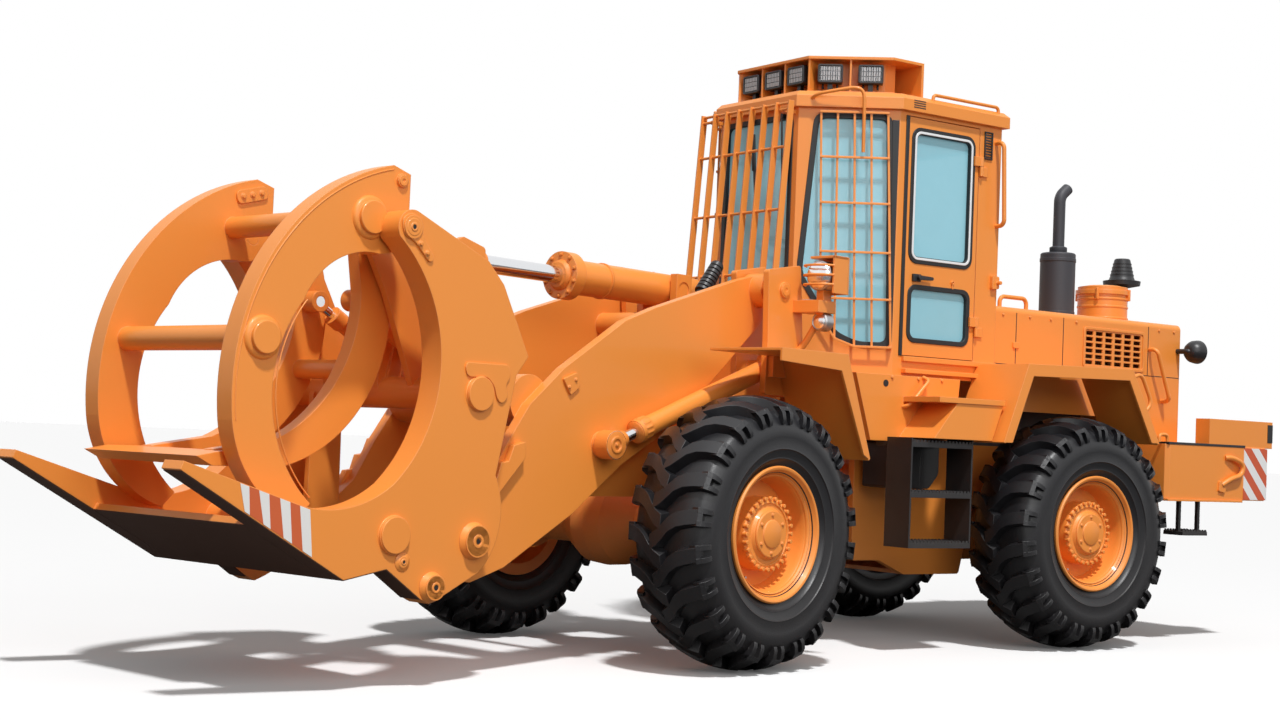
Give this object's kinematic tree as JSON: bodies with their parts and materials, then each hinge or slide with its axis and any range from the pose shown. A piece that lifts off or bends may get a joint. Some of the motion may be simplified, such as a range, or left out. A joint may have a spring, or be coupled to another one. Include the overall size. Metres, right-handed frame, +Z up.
{
  "type": "forestry wheel loader with log grapple",
  "caption": "Articulated wheel loader for timber, with a cab between its axles, a lifting boom and a tilting log grapple with an upper clamp and a log pusher.",
  "frame": {"origin": "middle of the object's box at ground level", "axes": "+X forward along the rear half, +Y to the driver's left, +Z up"},
  "size_m": [8.5742, 2.9791, 3.636],
  "materials": {
    "body_orange": "satin paint",
    "black_paint": "satin paint",
    "rod_chrome": "polished",
    "tyre_rubber": "matt",
    "window_glass": "clear, light tint",
    "exhaust_steel": "matt",
    "engine_iron": "matt",
    "seat_fabric": "woven",
    "dark_plastic": "matt",
    "lamp_plastic": "clear lens in a dark cup"
  },
  "bodies": {
    "rear_half": {"rear_frame": "body_orange", "rear_axle": "body_orange", "cab_shell": "body_orange", "cab_roof": "body_orange", "cab_glass": "window_glass", "roof_lamps": "lamp_plastic", "cab_guards": "body_orange", "seat": "seat_fabric", "steering_column": "dark_plastic", "hood": "body_orange", "engine": "engine_iron", "muffler": "exhaust_steel", "air_cleaner": "body_orange", "precleaner": "dark_plastic", "rear_fenders": "body_orange", "side_boxes": "body_orange", "counterweight": "body_orange", "ladders": "black_paint", "hand_rails": "body_orange", "rear_lamps": "lamp_plastic"},
    "front_half": {"front_frame": "body_orange", "front_axle": "body_orange", "front_fenders": "body_orange", "head_lamps": "lamp_plastic"},
    "door": {"cab_door": "body_orange", "door_glass": "window_glass"},
    "boom": {"boom": "body_orange"},
    "jaw": {"jaw": "body_orange"},
    "clamp": {"clamp": "body_orange"},
    "pusher": {"pusher": "body_orange"},
    "lift_barrels": {"lift_barrels": "body_orange"},
    "lift_rods": {"lift_rods": "rod_chrome"},
    "tilt_barrel": {"tilt_barrel": "body_orange"},
    "tilt_rod": {"tilt_rod": "rod_chrome"},
    "pusher_barrels": {"pusher_barrels": "body_orange"},
    "pusher_rods": {"pusher_rods": "rod_chrome"},
    "steer_barrel_left": {"steer_barrel_left": "body_orange"},
    "steer_barrel_right": {"steer_barrel_right": "body_orange"},
    "steer_rod_left": {"steer_rod_left": "rod_chrome"},
    "steer_rod_right": {"steer_rod_right": "rod_chrome"},
    "wheel_front_left": {"tyre_front_left": "tyre_rubber", "wheel_front_left": "body_orange"},
    "wheel_front_right": {"tyre_front_right": "tyre_rubber", "wheel_front_right": "body_orange"},
    "wheel_rear_left": {"tyre_rear_left": "tyre_rubber", "wheel_rear_left": "body_orange"},
    "wheel_rear_right": {"tyre_rear_right": "tyre_rubber", "wheel_rear_right": "body_orange"}
  },
  "joints": [
    {"name": "roll_front_left", "type": "hinge", "parent": "front_half", "child": "wheel_front_left", "pos_m": [0.58297, 1.03544, 0.74], "axis": [-0.1994, 0.9799, 0], "continuous": true},
    {"name": "roll_front_right", "type": "hinge", "parent": "front_half", "child": "wheel_front_right", "pos_m": [0.97572, -0.89501, 0.74], "axis": [-0.1994, 0.9799, 0], "continuous": true},
    {"name": "roll_rear_left", "type": "hinge", "parent": "rear_half", "child": "wheel_rear_left", "pos_m": [-2.33507, 0.74161, 0.74], "axis": [0, 1, 0], "continuous": true},
    {"name": "roll_rear_right", "type": "hinge", "parent": "rear_half", "child": "wheel_rear_right", "pos_m": [-2.33507, -1.22839, 0.74], "axis": [0, 1, 0], "continuous": true},
    {"name": "steer", "type": "hinge", "parent": "rear_half", "child": "front_half", "pos_m": [-0.76207, -0.24339, 0.87], "axis": [0, 0, 1], "range_deg": [-46.5, 23.5]},
    {"name": "door_swing", "type": "hinge", "parent": "rear_half", "child": "door", "pos_m": [-1.62407, 0.55061, 2.5], "axis": [0, 0, 1], "range_deg": [0, 90]},
    {"name": "boom_lift", "type": "hinge", "parent": "front_half", "child": "boom", "pos_m": [0.20315, -0.04701, 2.107], "axis": [0.1994, -0.9799, 0], "range_deg": [-6, 70]},
    {"name": "jaw_tilt", "type": "hinge", "parent": "boom", "child": "jaw", "pos_m": [2.51185, 0.4227, 0.696], "axis": [0.1994, -0.9799, 0], "range_deg": [-10, 22]},
    {"name": "clamp_open", "type": "hinge", "parent": "jaw", "child": "clamp", "pos_m": [2.97536, 0.517, 2.151], "axis": [0.1994, -0.9799, 0], "range_deg": [0, 90]},
    {"name": "pusher_swing", "type": "hinge", "parent": "jaw", "child": "pusher", "pos_m": [2.84405, 0.49028, 2.13], "axis": [0.1994, -0.9799, 0], "range_deg": [0, 35]},
    {"name": "lift_cylinder_swing", "type": "hinge", "parent": "front_half", "child": "lift_barrels", "pos_m": [0.16885, -0.05399, 1.671], "axis": [0.1994, -0.9799, 0], "range_deg": [-6.68, 67.31]},
    {"name": "lift_cylinder_stroke", "type": "slide", "parent": "lift_barrels", "child": "lift_rods", "axis": [0.9184, 0.1869, -0.3486], "range_m": [-0.0462, 0.5073]},
    {"name": "tilt_cylinder_swing", "type": "hinge", "parent": "boom", "child": "tilt_barrel", "pos_m": [0.42853, -0.00116, 2.1], "axis": [0.1994, -0.9799, 0], "range_deg": [-11.42, 5.74]},
    {"name": "tilt_cylinder_stroke", "type": "slide", "parent": "tilt_barrel", "child": "tilt_rod", "axis": [0.9798, 0.1994, 0.0125], "range_m": [-0.4987, 0.2283]},
    {"name": "pusher_cylinder_swing", "type": "hinge", "parent": "jaw", "child": "pusher_barrels", "pos_m": [2.45208, 0.41053, 1.62], "axis": [0.1994, -0.9799, 0], "range_deg": [-7.3, 1]},
    {"name": "pusher_cylinder_stroke", "type": "slide", "parent": "pusher_barrels", "child": "pusher_rods", "axis": [0.849, 0.1727, 0.4994], "range_m": [-0.003, 0.1714]},
    {"name": "steer_cylinder_left_swing", "type": "hinge", "parent": "rear_half", "child": "steer_barrel_left", "pos_m": [-1.36207, -0.02339, 0.93], "axis": [0, 0, 1], "range_deg": [-20.27, 10.74]},
    {"name": "steer_cylinder_left_stroke", "type": "slide", "parent": "steer_barrel_left", "child": "steer_rod_left", "axis": [0.9966, 0.0829, 0], "range_m": [-0.0917, 0.1785]},
    {"name": "steer_cylinder_right_swing", "type": "hinge", "parent": "rear_half", "child": "steer_barrel_right", "pos_m": [-1.36207, -0.46339, 0.93], "axis": [0, 0, 1], "range_deg": [-20.75, 10.98]},
    {"name": "steer_cylinder_right_stroke", "type": "slide", "parent": "steer_barrel_right", "child": "steer_rod_right", "axis": [0.9964, 0.0843, 0], "range_m": [-0.1799, 0.0924]}
  ],
  "couplings": [
    {"joint": "lift_cylinder_swing", "follows": "boom_lift", "ratio": 0.94723},
    {"joint": "lift_cylinder_stroke", "follows": "boom_lift", "m_per_rad": 0.41274},
    {"joint": "tilt_cylinder_swing", "follows": "jaw_tilt", "ratio": -0.47374},
    {"joint": "tilt_cylinder_stroke", "follows": "jaw_tilt", "m_per_rad": -1.291},
    {"joint": "pusher_cylinder_swing", "follows": "pusher_swing", "ratio": -0.18005},
    {"joint": "pusher_cylinder_stroke", "follows": "pusher_swing", "m_per_rad": 0.2756},
    {"joint": "steer_cylinder_left_swing", "follows": "steer", "ratio": 0.41452},
    {"joint": "steer_cylinder_left_stroke", "follows": "steer", "m_per_rad": -0.21625},
    {"joint": "steer_cylinder_right_swing", "follows": "steer", "ratio": 0.42471},
    {"joint": "steer_cylinder_right_stroke", "follows": "steer", "m_per_rad": 0.21798}
  ]
}
